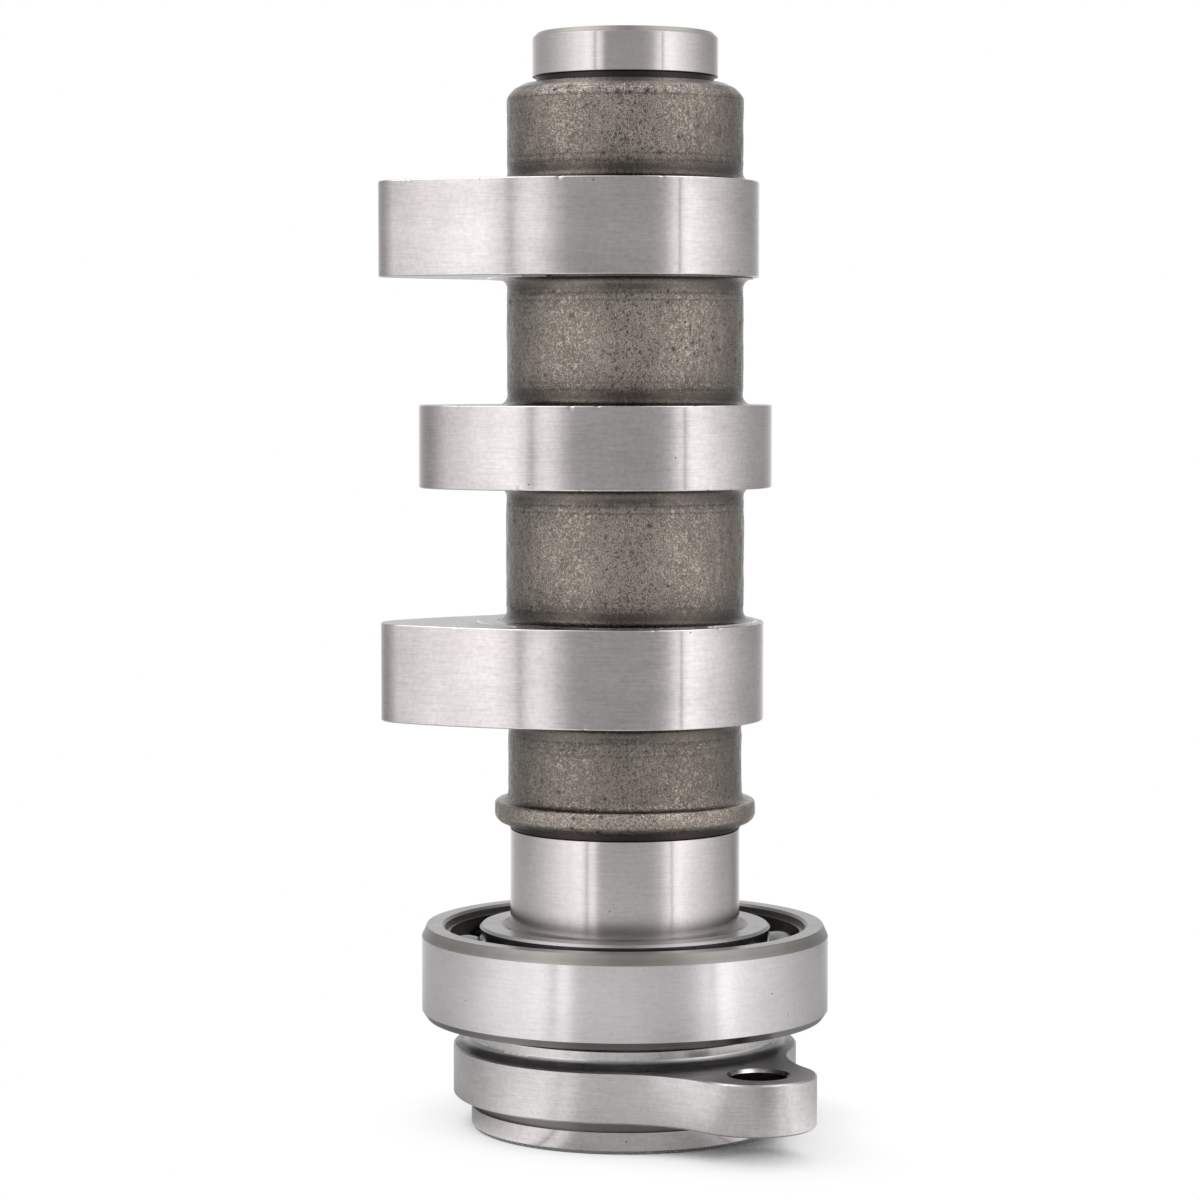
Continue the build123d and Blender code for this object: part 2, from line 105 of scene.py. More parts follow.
class ShaftSizes(PropertyGroup):
    """Sizes of the raw shaft and its two journals, heights above the floor."""
    lobe_edge: length("Lobe edge", "Rounding of the lobes' rims", 0.25)
    root_fillet: length("Root fillet", "Fillet between the raw shaft and a lobe", 1.5)
    section_a: length("Section A radius", "Raw shaft above the upper lobe", 17.84)
    section_b: length("Section B radius", "Raw shaft under the upper lobe", 17.9)
    section_c: length("Section C radius", "Raw shaft under the middle lobe", 18.04)
    section_d: length("Section D radius", "Raw shaft under the lower lobe", 17.77)
    rib: length("Rib radius", "Raised rib under the lower lobe", 19.85)
    rib_low: length("Rib underside", "Height of the rib's lower face", 46.58)
    rib_high: length("Rib top", "Height of the rib's upper face", 50.03)
    journal: length("Journal radius", "Ground journal above the bearing", 17.5)
    journal_low: length("Seat bottom", "Height at which the bearing's seat begins", 16.88)
    journal_high: length("Journal top", "Height of the journal's upper edge", 45.63)
    neck: length("Neck radius", "Turned neck between the journal and the rib", 17.7)
    groove: length("Groove depth", "Depth of the groove over the journal", 0.3)
    tail: length("Tail radius", "Tail of the shaft in the hub", 15.0)
    tail_low: length("Tail end", "Height of the tail's end face", 1.2)
    shoulder_high: length("Shoulder top", "Height at which the raw shaft ends", 158.13)
    undercut: length("Undercut radius", "Undercut below the upper journal", 13.4)
    top_journal: length("Upper journal radius", "Ground journal at the free end", 14.05)
    top_low: length("Upper journal underside", "Height of the upper journal's lower face", 159.23)
    top_high: length("Top", "Height of the shaft's free end", 165.83)


class FinishPlaces(PropertyGroup):
    """Places on the hub and the bearing where one finish gives way to another."""
    pilot_high: length("Pilot height", "Height of the drive hub's pilot under its flange", 3.31)
    relief_high: length("Relief top", "Height up to which the relief under the flange reaches", 5.4)
    relief_reach: length("Relief reach", "Distance from the axis up to which the relief reaches", 24.2)
    collar_low: length("Collar foot", "Height above which an underside belongs to the collar", 12.0)
    hole_reach: length("Ear hole reach", "Distance of the ear's hole from the axis", 33.7)
    hole_angle: degrees("Ear hole angle", "Plan angle of the ear's hole", -55.0)
    hole: length("Ear hole radius", "Radius of the ear's hole", 4.2)
    hole_rim: length("Ear hole rim", "Width round the hole that keeps its bright chamfer", 1.5)
    # Below this height the inside of the bearing gets painted shade.
    race_high: length("Painted shade height", "Height up to which the inside of the bearing is oily", 29.0)
    corner: length("Outer corner", "Distance from the axis beyond which the chamfers are dark", 30.0)
    bore_corner: length("Bore corner", "Distance from the axis within which they are dark too", 19.2)
    step_in: length("Step inside", "Inner limit of the outer ring's bore and its step", 26.0)
    step_out: length("Step outside", "Outer limit of the outer ring's bore and its step", 28.4)


class Finishes(PropertyGroup):
    """Colours and roughness of the steel surfaces."""
    ground: colour("Ground steel", "Lobes and journals", (0.61, 0.571, 0.569))
    ground_rough: share("Ground roughness", "Roughness of ground steel", 0.075)
    ring_rough: share("Ring roughness", "Roughness of rings and journals across their lines", 0.133)
    ring: colour("Ring steel", "Outsides of the bearing's rings", (0.615, 0.592, 0.6))
    satin: colour("Satin steel", "Rims of the drive hub", (0.6, 0.58, 0.575))
    satin_rough: share("Satin roughness", "Roughness of the drive hub's rims", 0.2)
    turned: colour("Turned faces", "End faces of the lobes and the hub", (0.39, 0.379, 0.381))
    turned_rough: share("Turned roughness", "Roughness of turned faces", 0.3)
    raw: colour("Raw steel", "Unmachined shaft between the lobes", (0.242, 0.213, 0.186))
    raw_rough: share("Raw roughness", "Roughness of the unmachined shaft", 0.2)
    dark: colour("Dark chamfers", "Hardened chamfers left unground", (0.3, 0.283, 0.27))
    dark_rough: share("Dark roughness", "Roughness of unground steel", 0.32)
    ring_face: colour("Ring faces", "End faces of the bearing's rings", (0.285, 0.277, 0.279))
    # Painted shade: a dark colour put on the outer ring's inner step, the hub's relief and downward slants,
    # where shade falls.
    recess: colour("Painted shade in recesses", "Inner steps of the outer ring and the hub's relief", (0.17, 0.16, 0.152))
    # Painted shade: a near-black colour put on undercuts, grooves, the bolt hole and the bearing's inside,
    # where shade falls.
    oiled: colour("Deep painted shade in recesses", "Undercuts and grooves that stay oily", (0.045, 0.041, 0.037))
    sheet: colour("Cage sheet", "Pressed steel of the cage", (0.24, 0.235, 0.23))
    ball: colour("Balls", "Oily lapped balls", (0.3, 0.29, 0.28))


class StageSizes(PropertyGroup):
    """Camera, floor and light tent."""
    lens: FloatProperty(name="Lens", description="Focal length on a 36 mm sensor", default=108.8,
                        min=1.0, subtype="DISTANCE_CAMERA", unit="CAMERA")
    distance: length("Camera distance", "Distance from the shaft's axis to the camera", 550.5)
    eye: length("Camera height", "Height of the camera above the floor", 114.6)
    aside: length("Camera offset", "Distance of the camera to the left of the axis", 3.8)
    tilt: degrees("Tilt", "Angle of the camera from looking straight down", 86.44)
    tent: length("Tent radius", "Radius of the light tent", 600.0)
    wall: length("Wall height", "Height of the tent's upright wall", 500.0)
    dome: length("Dome height", "Height of the dome above the wall", 350.0)
    shadow_reach: length("Shadow reach", "Distance within which the object darkens the floor", 15.0)


# Shapes. All sizes below are in millimetres.

GUARD = 0.02
LOBE_COLUMNS, RAW_COLUMNS, JOURNAL_COLUMNS = 640, 384, 256
LOBE_STEP, RAW_STEP, JOURNAL_STEP = 0.4, 0.27, 1.0
NICKS, PITS, WAVES, BAND_WAVES = 9, 70, 90, 12
NICK_REACH, EDGE_REACH = 0.3, 0.4
SKIN, CALM = 3.5, 0.8
BAND, BAND_EDGE, BAND_DEPTH, BAND_WEAR = 0.55, 0.07, 0.05, 0.3
FULL_PIT, FULL_RING = 0.05, 0.06
FLARE_GAP, DISC_ARC = 0.06, 0.05
HALF_STEP, STEP_MARGIN = 0.05, 0.12
CENTRE_MOUTH, CENTRE_DRILL = 3.6, 1.6
CENTRE_CONE, CENTRE_DEPTH, CENTRE_TIP = 3.46, 8.96, 9.89


def unit(vectors):
    """Each vector divided by its length."""
    return vectors / np.linalg.norm(vectors, axis=-1, keepdims=True)


def bell(value):
    """Bell curve of a value: one at zero, and close to nothing beyond two."""
    return np.exp(-(value ** 2))


def rounded(corners, radii, steps=7):
    """Profile through the corners, with an arc of its own radius at each inner one. The arc's
    centre lies on the corner's bisector, at the radius over the sine of half the corner's
    angle, and a guard point follows close outside each of its ends."""
    corners = np.asarray(corners, float)
    radii = np.broadcast_to(np.asarray(radii, float), len(corners) - 2)[:, None]
    here = corners[1:-1]
    back, onward = unit(corners[:-2] - here), unit(corners[2:] - here)
    half = np.arccos(np.clip((back * onward).sum(1), -1, 1))[:, None] / 2
    centre = here + unit(back + onward) * radii / np.sin(half)
    start, end = (here + side * radii / np.tan(half) for side in (back, onward))
    first, last = (np.arctan2(*(point - centre).T[::-1]) for point in (start, end))
    turn = (last - first + np.pi) % (2 * np.pi) - np.pi
    angle = first[:, None] + turn[:, None] * np.linspace(0, 1, steps)
    arcs = centre[:, None] + radii[:, None] * np.stack([np.cos(angle), np.sin(angle)], -1)
    points = np.concatenate([(start + back * GUARD)[:, None], arcs, (end + onward * GUARD)[:, None]], 1)
    return np.concatenate([corners[:1], points.reshape(-1, 2), corners[-1:]])


def refined(profile, step, beyond=-1.0):
    """The same profile with points added so that no run is longer than the step. Nearer to the
    axis than the given radius no points are added."""
    along = np.concatenate([[0], np.cumsum(np.linalg.norm(np.diff(profile, axis=0), axis=1))])
    extra = np.arange(0, along[-1], step)
    nearest = np.abs(extra[:, None] - along).min(1)
    added = (nearest > step * 0.3) & (np.interp(extra, along, profile[:, 0]) > beyond)
    stations = np.sort(np.concatenate([along, extra[added]]))
    return np.stack([np.interp(stations, along, profile[:, i]) for i in (0, 1)], 1)


def ring_quads(rows, columns, first=0):
    """Quads of a grid whose last column joins the first, by the number of its first point."""
    row = first + columns * np.arange(rows - 1)[:, None]
    ring = np.arange(columns)
    following = (ring + 1) % columns
    quads = [row + ring, row + following, row + columns + following, row + columns + ring]
    return np.stack(quads, -1).reshape(-1, 4)


def new_piece(name, points, faces):
    """Object with a new mesh, linked to the scene."""
    mesh = bpy.data.meshes.new(name)
    mesh.from_pydata(points.tolist(), [], faces)
    piece = bpy.data.objects.new(name, mesh)
    bpy.context.scene.collection.objects.link(piece)
    return piece


def skin(name, grid, **marks):
    """Closed mesh of a grid in millimetres. Rows run from the lower pole over the outside to
    the upper pole, columns run round the axis, and the last column joins the first. Each mark
    is a grid of values stored on the points under its own name."""
    rows, columns = grid.shape[:2]
    points = np.concatenate([grid[0, :1], grid[1:-1].reshape(-1, 3), grid[-1, :1]]) * MM
    ring = np.arange(columns)
    following = (ring + 1) % columns
    last = 1 + columns * (rows - 3)
    bottom = np.stack([np.zeros_like(ring), 1 + following, 1 + ring], -1)
    top = np.stack([last + ring, last + following, np.full_like(ring, len(points) - 1)], -1)
    faces = ring_quads(rows - 2, columns, 1).tolist() + bottom.tolist() + top.tolist()
    piece = new_piece(name, points, faces)
    piece.data.shade_smooth()
    for label, values in marks.items():
        values = np.broadcast_to(values, (rows, columns))
        values = np.concatenate([values[0, :1], values[1:-1].ravel(), values[-1, :1]])
        piece.data.attributes.new(label, "FLOAT", "POINT").data.foreach_set("value", values)
    return piece


def turned(profile, columns, outward=0.0):
    """Grid of a profile turned round the axis: the radius, plus what stands outward at each
    point, times the cosine and sine of the plan angle."""
    angle = np.linspace(0, 2 * np.pi, columns, endpoint=False)
    radius = profile[:, :1] + outward * (profile[:, :1] > 0)
    height = np.broadcast_to(profile[:, 1:], (len(profile), columns))
    return np.stack([radius * np.cos(angle), radius * np.sin(angle), height], -1)


def flank_radii(form):
    """Radii of the flank and shoulder arcs. The steps from centre to centre, each along one
    facing direction, add up to the reach of the nose."""
    flank, shoulder, tip = (np.array([np.cos(a), np.sin(a)]) for a in (form.flank, form.shoulder, form.tip))
    step = np.array([form.reach / MM, 0]) - flank * form.base / MM + tip * form.nose / MM
    return np.linalg.solve(np.stack([shoulder - flank, tip - shoulder], 1), step)


def lobe_outline(form, facing, inset=0.0):
    """Point of the cam outline that faces each direction, counted from the nose: the centre of
    the arc there, plus its radius less the inset along that direction."""
    base, nose, reach = form.base / MM, form.nose / MM, form.reach / MM
    flank_r, shoulder_r = flank_radii(form)
    side, away = np.sign(facing), np.abs(facing)
    towards = np.stack([np.cos(facing), np.sin(facing)], -1)
    flank, step = (size * np.stack([np.cos(angle) + 0 * side, np.sin(angle) * side], -1)
                   for size, angle in ((base - flank_r, form.flank), (flank_r - shoulder_r, form.shoulder)))
    on_nose, on_shoulder, on_flank = away < form.tip, away < form.shoulder, away < form.flank
    centre = np.where(on_flank[..., None], flank, 0.0)
    centre = np.where(on_shoulder[..., None], flank + step, centre)
    centre = np.where(on_nose[..., None], (reach, 0.0), centre)
    radius = np.select([on_nose, on_shoulder, on_flank], [nose, shoulder_r, flank_r], base)
    return centre + (radius - inset)[..., None] * towards


def even_facing(form, columns):
    """Facing directions at equal distances along the outline, found where the length run so
    far, the sum of the radius over the angle turned, passes equal steps."""
    angle = np.linspace(-np.pi, np.pi, 40001)
    line = lobe_outline(form, angle)
    run = np.concatenate([[0], np.cumsum(np.linalg.norm(np.diff(line, axis=0), axis=1))])
    return np.interp(np.linspace(0, run[-1], columns, endpoint=False), run, angle), run[-1]


def chips(columns, run, seed, count):
    """Depth of small nicks along a rim: the sum of bell curves at seeded places and sizes."""
    rng = np.random.default_rng(seed)
    place = np.linspace(0, run, columns, endpoint=False)
    centre = rng.uniform(0, run, count)
    width = rng.uniform(0.12, 0.3, count)
    depth = rng.uniform(0.03, 0.1, count)
    gap = np.abs(place - centre[:, None])
    gap = np.minimum(gap, run - gap)
    return (depth[:, None] * bell(gap / width[:, None])).sum(0)


def face_rows(rim, step_radius, step, height, sign):
    """Rows from the axis to the rim across an end face. A round step of the given height lies
    within its radius, or just inside the rim where that is nearer."""
    reach = np.linalg.norm(rim, axis=-1)
    towards = rim / reach[:, None]
    edge = np.minimum(step_radius, reach - STEP_MARGIN)
    inner = np.array([0, 0.4, 0.7, 0.82, 0.9, 0.96, 0.985])[:, None] * edge
    outer = edge + HALF_STEP + np.array([0, 0.25, 0.5, 0.75])[:, None] * (reach - edge - HALF_STEP)
    radius = np.concatenate([inner, (edge - HALF_STEP)[None], outer])
    rise = np.concatenate([np.full(len(inner) + 1, step), np.zeros(len(outer))]) * sign + height
    level = np.broadcast_to(rise[:, None, None], (*radius.shape, 1))
    return np.concatenate([radius[..., None] * towards, level], -1)


def lobe_grid(form, edge, seed):
    """Cam lobe: rows across the lower face, up the rounded rim, and back across the upper
    face. The rim's profile is carried round the outline as an inset and a height."""
    facing, run = even_facing(form, LOBE_COLUMNS)
    low, high = form.height / MM, (form.height + form.thickness) / MM
    low_face, high_face = low + form.step_below / MM, high - form.step_above / MM
    corners = [(-1, low_face), (0, low_face), (0, high_face), (-1, high_face)]
    rim = refined(rounded(corners, edge), LOBE_STEP)
    low_chip, high_chip = (chips(LOBE_COLUMNS, run, seed + i, NICKS) for i in (0, 1))
    near_low, near_high = (bell((rim[:, 1:] - face) / NICK_REACH) for face in (low_face, high_face))
    inset = near_low * low_chip + near_high * high_chip - rim[:, :1]
    flat = lobe_outline(form, np.broadcast_to(facing, inset.shape), inset)
    near_edge = bell(rim[:, :1] / EDGE_REACH)
    level = rim[:, 1:] + (near_low * low_chip - near_high * high_chip) * 0.5 * near_edge
    wall = np.concatenate([flat, level[..., None]], -1)
    below = face_rows(flat[0], form.step_radius / MM, form.step_below / MM, low_face, -1)
    above = face_rows(flat[-1], form.step_radius / MM, form.step_above / MM, high_face, 1)
    grid = np.concatenate([below, wall, above[::-1]])
    cos, sin = np.cos(form.direction), np.sin(form.direction)
    grid[..., :2] = grid[..., :2] @ np.array([[cos, -sin], [sin, cos]]).T
    return grid


def unevenness(angle, height, seed, count=WAVES):
    """Gentle waves of a forged surface: the sum of seeded cosines of the plan angle and the
    height, the short ones lower than the long ones."""
    rng = np.random.default_rng(seed)
    around = rng.integers(2, 70, count)
    along = rng.normal(0, 1.6, count)
    phase = rng.uniform(0, 2 * np.pi, count)
    size = 0.05 / np.sqrt(around ** 2 / 18.0 + along ** 2 * 18.0 + 4.0) / np.sqrt(count) * 6
    return sum(s * np.cos(m * angle + k * height + p) for s, m, k, p in zip(size, around, along, phase))


def pits(angle, height, radius, span, seed, cluster):
    """Depth of small pits: at each point the deepest of the seeded bell-shaped dents. Some more
    lie in a cluster, given by its range of angles in degrees, its range of heights and its
    number of pits."""
    rng = np.random.default_rng(seed)
    (first, last), (low, high), more = cluster
    turn = np.concatenate([rng.uniform(0, 2 * np.pi, PITS), np.radians(rng.uniform(first, last, more))])
    level = np.concatenate([rng.uniform(span[0], span[1], PITS), rng.uniform(low, high, more)])
    count = PITS + more
    width = rng.uniform(0.07, 0.16, count) * rng.choice([1.0, 1.0, 1.0, 1.6], count)
    depth = width * rng.uniform(0.35, 0.8, count)
    slant = rng.uniform(-0.6, 0.6, count)
    dents = np.zeros(np.broadcast_shapes(angle.shape, height.shape))
    for t, z, w, d, s in zip(turn, level, width, depth, slant):
        aside = ((angle - t + np.pi) % (2 * np.pi) - np.pi) * radius
        away = (height - z) + s * aside
        dents = np.maximum(dents, d * np.exp(-(aside / (w * 1.3)) ** 2 - (away / w) ** 2))
    return dents


def turning_marks(height, low, high):
    """Shallow rings that a tool left near both ends: bell curves at set distances from them."""
    places = np.array([0.35, 0.8, 1.15, 1.9, 2.6])
    depth = np.array([0.02, 0.035, 0.02, 0.025, 0.015])
    near = np.minimum(height - low, high - height)[..., None]
    return (depth * bell((near - places) / 0.09)).sum(-1)


# Painted shade towards a raw section's foot, in its fillet, towards its head and under its rib, and a
# painted highlight near the free end's shoulder.
FOOT_SHADE, FOOT_REACH, FILLET_SHADE, FILLET_REACH, HEAD_SHADE = 0.5, 1.8, 0.5, 1.2, 0.25
RIB_UNDERSIDE_SHADE, RIB_FROM, RIB_REACH, CROWN_GAIN = 0.5, 1.4, 0.8, 0.22
END_TONE, SHOULDER_HIGHLIGHT, SHOULDER_FROM, SHOULDER_REACH = 0.93, 0.04, 0.5, 3.5


def painted_section_light(radius, height, span, ribbed, free_end):
    """Lightness along a raw section. It falls off towards the foot and, in the fillet, further.
    Where a rib stands at the foot, its underside is darker and its crown lighter instead. It
    falls off towards the head too, except at the free end, which is lighter near its shoulder."""
    above, below = height - span[0], span[1] - height
    if ribbed:
        tone = RIB_UNDERSIDE_SHADE + (1 - RIB_UNDERSIDE_SHADE) * np.clip((above - RIB_FROM) / RIB_REACH, 0, 1)
        tone = tone * (1 + CROWN_GAIN * (radius > radius.max() - 1))
    else:
        tone = 1 - FOOT_SHADE * np.exp(-np.maximum(above, 0) / FOOT_REACH)
        tone = tone * (1 - FILLET_SHADE * np.clip(-above / FILLET_REACH, 0, 1))
    if free_end:
        gain = SHOULDER_HIGHLIGHT * np.clip(1 - (below - SHOULDER_FROM) / SHOULDER_REACH, 0, 1)
        return tone * END_TONE * (1 + gain)
    return tone * (1 - HEAD_SHADE * np.exp(-np.maximum(below, 0)))


def raw_section(name, profile, span, seed, cluster, dimming=0.0, free_end=False):
    """Closed raw shaft section from its profile, with waves, pits and turning marks between
    the two heights of its span. A cleaned band at both ends is lower, darker and smoother. A
    section with a stain has a rib at its foot, and is darker by the stain everywhere else."""
    middle = refined(profile, RAW_STEP, profile[:, 0].max() - SKIN - 0.1)
    reach, height = middle[:, :1], middle[:, 1:]
    angle = np.linspace(0, 2 * np.pi, RAW_COLUMNS, endpoint=False)[None]
    radius = reach.max()
    margin = np.minimum(height - span[0], span[1] - height)
    calm = np.clip(margin / CALM, 0, 1)
    calm = calm * calm * (3 - 2 * calm) * (reach > radius - SKIN)
    dents = pits(angle, height, radius, span, seed, cluster) * calm
    rings = turning_marks(height, span[0], span[1]) * calm
    margin = margin + 0.25 * unevenness(angle, 0 * height, seed + 2, BAND_WAVES)
    band = 1 / (1 + np.exp((margin - BAND) / BAND_EDGE))
    outward = unevenness(angle, height, seed + 1) * calm - dents - rings - BAND_DEPTH * band
    # Darker by the dimming everywhere but on the rib, and by the cleaned band near both ends.
    darkened = np.maximum(BAND_WEAR * band, dimming * (reach < radius - 1))
    wear = np.maximum(np.clip(dents / FULL_PIT, 0, 1), darkened) + np.clip(rings / FULL_RING, 0, 1) * 0.9
    # Painted shade near the lobes and under the rib, and a painted highlight near the free end's shoulder,
    # stored as the tone.
    tone = painted_section_light(reach, height, span, dimming > 0, free_end)
    piece = skin(name, turned(middle, RAW_COLUMNS, outward), wear=wear, cleaned=band, tone=tone)
    piece.data.materials.append(finishes(bpy.context.scene)["raw"])
    carry(piece, "camshaft_steel", "camshaft")


# Materials

NOISE_SPAN = 0.3, 0.7
CONTOUR = 0.11
DARK_PIT, DEEPEST_PIT = 0.22, 0.85


def put(tree, kind, inputs=None, **settings):
    """Adds a shader node, sets what is given, and links or fills its inputs."""
    node = tree.nodes.new("ShaderNode" + kind)
    for key, value in settings.items():
        setattr(node, key, value)
    for key, value in (inputs or {}).items():
        if isinstance(value, bpy.types.NodeSocket):
            tree.links.new(value, node.inputs[key])
        else:
            node.inputs[key].default_value = value
    return node


def wire(tree, node, **sources):
    """Links values to a node's inputs. An underscore in a name stands for a space."""
    for label, source in sources.items():
        tree.links.new(source, node.inputs[label.replace("_", " ")])


def new_group(name, inputs, outputs):
    """Empty shader node group with float inputs, given with their defaults, and outputs."""
    group = bpy.data.node_groups.new(name, "ShaderNodeTree")
    for label, default in inputs.items():
        socket = group.interface.new_socket(label, in_out="INPUT", socket_type="NodeSocketFloat")
        socket.default_value = default
    for label in outputs:
        group.interface.new_socket(label, in_out="OUTPUT", socket_type="NodeSocketFloat")
    return group, group.nodes.new("NodeGroupInput").outputs, group.nodes.new("NodeGroupOutput")


def place(tree):
    """Object coordinates."""
    return put(tree, "TexCoord").outputs["Object"]


def scaled(tree, vector, factors):
    """A vector times three numbers."""
    return put(tree, "VectorMath", {0: vector, 1: factors}, operation="MULTIPLY").outputs[0]


def times(tree, base, amount):
    """A fixed colour times a changing number."""
    return put(tree, "VectorMath", {0: tuple(base), "Scale": amount}, operation="SCALE").outputs[0]


def math(tree, operation, a, b=0.0):
    """One sum of two values."""
    return put(tree, "Math", {0: a, 1: b}, operation=operation).outputs[0]


def weighted(tree, *terms):
    """Sum of values, each times its weight."""
    total = 0.0
    for value, weight in terms:
        total = math(tree, "ADD", math(tree, "MULTIPLY", value, weight), total)
    return total


def ramp(tree, value, low, high, dark, light):
    """Maps a value between two limits to a number between two others."""
    limits = {"Value": value, "From Min": low, "From Max": high, "To Min": dark, "To Max": light}
    return put(tree, "MapRange", limits).outputs["Result"]


def spread(tree, value, least, most):
    """Maps the usual span of a noise to a number between two others."""
    return ramp(tree, value, *NOISE_SPAN, least, most)


def noise(tree, vector, scale, detail, **more):
    """Value of a noise over a vector."""
    given = {"Vector": vector, "Scale": scale, "Detail": detail, **more}
    return put(tree, "TexNoise", given).outputs["Fac"]


def attribute(tree, name):
    """Value stored on the points of the mesh."""
    return put(tree, "Attribute", attribute_name=name).outputs["Fac"]


def grinding_group():
    """Fine lines round the axis and slow waviness along them, as a grinding wheel leaves, and a
    shade mixed from the lines, broader bands and a mottle."""
    group, inputs, out = new_group("Grinding lines", {"Lines": 1.0, "Waves": 1.0}, ("Height", "Shade"))
    where = place(group)
    lines = noise(group, scaled(group, where, (260, 260, 5200)), 1.0, 3.0)
    waves = noise(group, scaled(group, where, (620, 620, 4)), 1.0, 1.0)
    broad = noise(group, scaled(group, where, (90, 90, 160)), 1.0, 3.0)
    mottle = noise(group, where, 1500.0, 2.0)
    wire(group, out, Height=weighted(group, (lines, inputs["Lines"]), (waves, inputs["Waves"])),
         Shade=weighted(group, (lines, 0.35), (broad, 0.35), (mottle, 0.3)))


def ring_group():
    """Concentric tool marks on an end face: noise over the distance from the axis."""
    group, inputs, out = new_group("Face rings", {"Spacing": 4000.0}, ("Height",))
    across = scaled(group, place(group), (1, 1, 0))
    away = put(group, "VectorMath", {0: across}, operation="LENGTH").outputs["Value"]
    along = {"W": math(group, "MULTIPLY", away, inputs["Spacing"]), "Scale": 1.0, "Detail": 2.0}
    rings = put(group, "TexNoise", along, noise_dimensions="1D")
    wire(group, out, Height=rings.outputs["Fac"])


def grain_group():
    """Crinkled grain of blasted steel: winding ridges along the level lines of a noise, at even
    steps of its value, over a coarser noise, with slow patches of light and dark."""
    group, inputs, out = new_group("Blasted grain", {"Scale": 1500.0}, ("Height", "Shade", "Patches"))
    where = place(group)
    fine = noise(group, where, inputs["Scale"], 1.0, Roughness=0.5, Distortion=1.4)
    off = math(group, "PINGPONG", math(group, "SUBTRACT", fine, 0.5), CONTOUR)
    ridge = ramp(group, off, 0.0, CONTOUR, 1.0, 0.0)
    coarse = noise(group, where, 700.0, 2.0)
    wire(group, out, Height=weighted(group, (ridge, 0.5), (coarse, 0.8)), Shade=ridge,
         Patches=noise(group, where, 170.0, 4.0, Roughness=0.6))


def speck_group():
    """Scattered dark specks: small cells of a scattered pattern, kept where a random value of
    the cell is under the amount."""
    group, inputs, out = new_group("Specks", {"Scale": 700.0, "Size": 0.1, "Amount": 0.04}, ("Mask",))
    cells = put(group, "TexVoronoi", {"Vector": place(group), "Scale": inputs["Scale"]})
    small = math(group, "LESS_THAN", cells.outputs["Distance"], inputs["Size"])
    pick = put(group, "SeparateColor", {0: cells.outputs["Color"]}).outputs[0]
    wire(group, out, Mask=math(group, "MULTIPLY", small, math(group, "LESS_THAN", pick, inputs["Amount"])))


def group_node(tree, name, **inputs):
    """Outputs of a shader node group placed with its own values."""
    node = put(tree, "Group", node_tree=bpy.data.node_groups[name])
    for key, value in inputs.items():
        node.inputs[key.capitalize()].default_value = value
    return node.outputs


def colour_mix(tree, mask, below, above):
    """Mix of a changing colour and a fixed one by a mask, on the sockets of the colour mode."""
    node = put(tree, "Mix", data_type="RGBA")
    for index, source in ((0, mask), (6, below)):
        tree.links.new(source, node.inputs[index])
    node.inputs[7].default_value = (*above, 1.0)
    return node.outputs[2]


def speckled(tree, base, tone, dim, **specks):
    """A fixed colour times a changing tone, dimmed where specks lie."""
    mask = group_node(tree, "Specks", **specks)["Mask"]
    return colour_mix(tree, mask, times(tree, base, tone), [c * dim for c in base])


def bump(tree, height, microns, strength=1.0):
    """Normal of a height, given in millionths of a metre."""
    given = {"Height": height, "Distance": microns * 1e-6, "Strength": strength}
    return put(tree, "Bump", given).outputs[0]


def new_steel(name, metallic=1.0):
    """New metal material with its node tree and its shader."""
    material = bpy.data.materials.new(name)
    material.use_nodes = True
    shader = material.node_tree.nodes["Principled BSDF"]
    shader.inputs["Metallic"].default_value = metallic
    return material, material.node_tree, shader


def ground_steel(name, base, rough, swing):
    """Ground steel: fine lines, faint chatter, and a few tiny specks."""
    material, tree, shader = new_steel(name)
    marks = group_node(tree, "Grinding lines", lines=0.5, waves=2.0)
    tone = spread(tree, marks["Shade"], 1 - swing, 1 + 0.85 * swing)
    wire(tree, shader, Base_Color=speckled(tree, base, tone, 0.35, scale=420.0, size=0.06, amount=0.05),
         Roughness=spread(tree, marks["Shade"], rough * 0.95, rough * 1.06),
         Normal=bump(tree, marks["Height"], 1.0))
    return material


def round_steel(name, base, rough, swing):
    """Ground steel of round pieces, which blurs along the axis, across its grinding lines."""
    material = ground_steel(name, base, rough, swing)
    tree = material.node_tree
    shader = tree.nodes["Principled BSDF"]
    shader.inputs["Anisotropic"].default_value = 1.0
    shader.inputs["Anisotropic Rotation"].default_value = 0.25
    wire(tree, shader, Tangent=put(tree, "Tangent", direction_type="RADIAL", axis="Z").outputs[0])
    return material


def turned_steel(name, base, rough, metallic):
    """Turned end face: concentric marks, slow patches and a few specks."""
    material, tree, shader = new_steel(name, metallic)
    shader.inputs["Specular IOR Level"].default_value = 0.25
    rings = group_node(tree, "Face rings", spacing=3500.0)["Height"]
    patches = group_node(tree, "Blasted grain", scale=3000.0)["Patches"]
    tone = ramp(tree, math(tree, "ADD", rings, patches), 0.6, 1.4, 0.8, 1.15)
    wire(tree, shader, Base_Color=speckled(tree, base, tone, 0.4, scale=500.0, size=0.12, amount=0.05),
         Roughness=spread(tree, patches, rough * 0.85, rough * 1.2), Normal=bump(tree, rings, 6.0))
    return material


